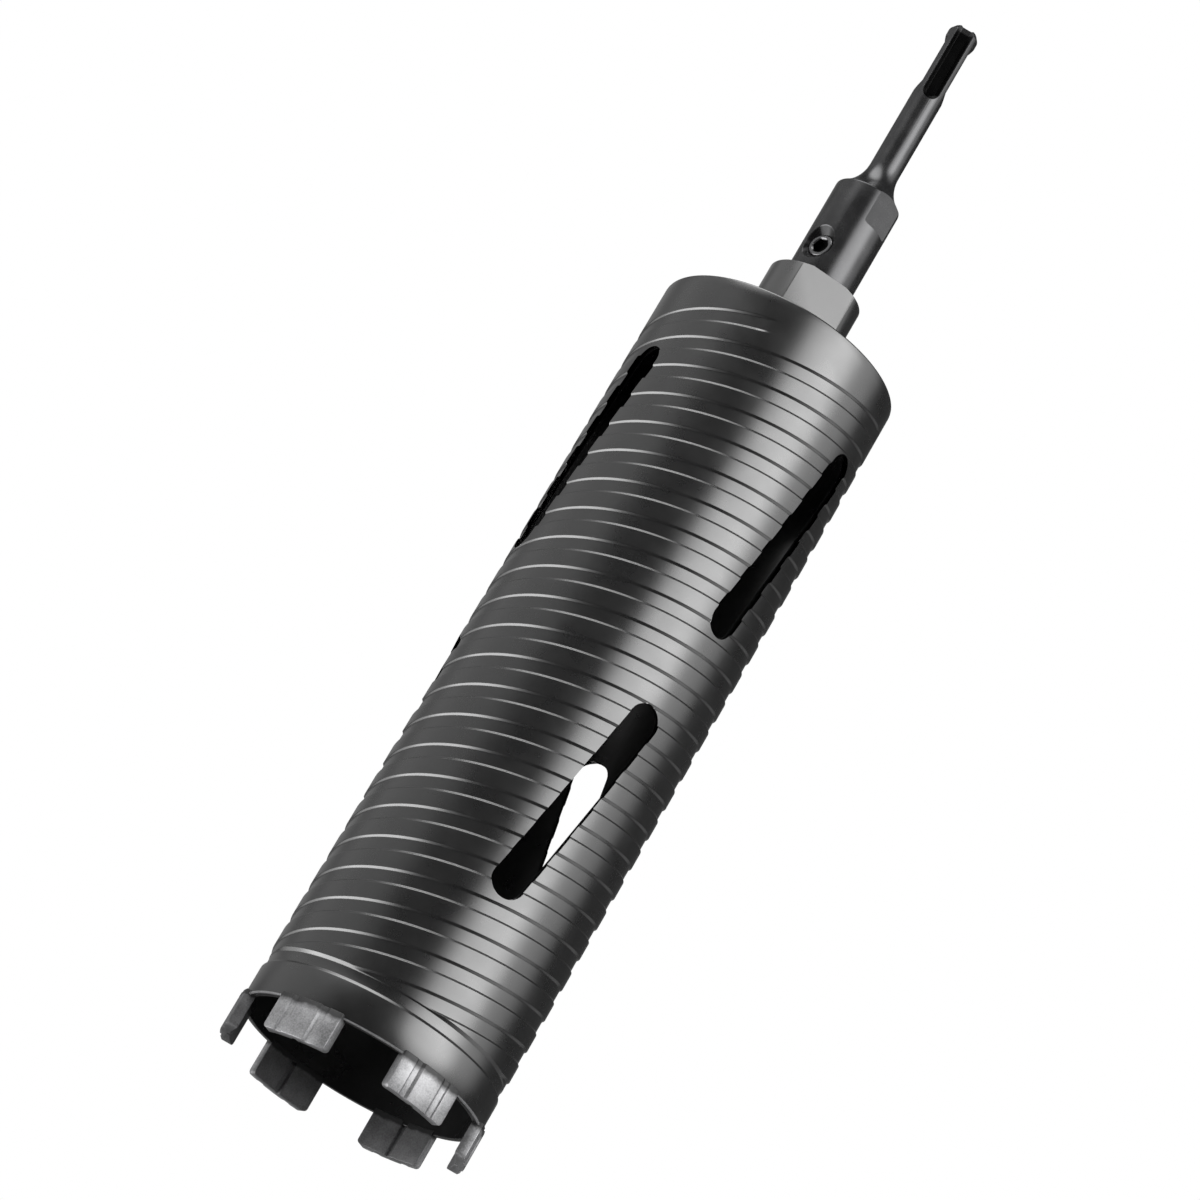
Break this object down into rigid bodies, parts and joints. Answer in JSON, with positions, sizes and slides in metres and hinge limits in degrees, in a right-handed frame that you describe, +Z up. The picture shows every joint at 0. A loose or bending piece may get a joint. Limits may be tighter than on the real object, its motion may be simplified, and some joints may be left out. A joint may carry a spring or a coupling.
{
  "type": "diamond core bit",
  "caption": "Dry diamond core bit with a spiral grooved, slotted steel barrel and a screwed-in adapter with a quick-change hammer drill shank.",
  "frame": {"origin": "on the bit's axis, at the level of the segments' cutting tips, which the bit stands on", "axes": "+Z up the bit's axis from the tips to the end of the shank; +X points at the middle of segment_1; right-handed"},
  "size_m": [0.08, 0.078, 0.3962],
  "materials": {
    "barrel_paint": "satin black paint on steel",
    "hub_paint": "satin black paint on turned steel",
    "segment_metal": "rough sintered metal with diamond grit",
    "adapter_steel": "blackened, finely turned steel",
    "screw_steel": "blackened steel"
  },
  "bodies": {
    "root": {"barrel_tube": "barrel_paint", "end_hub": "hub_paint", "segment_1": "segment_metal", "segment_2": "segment_metal", "segment_3": "segment_metal", "segment_4": "segment_metal", "segment_5": "segment_metal", "segment_6": "segment_metal", "shank_adapter": "adapter_steel", "set_screw": "screw_steel"}
  },
  "joints": []
}
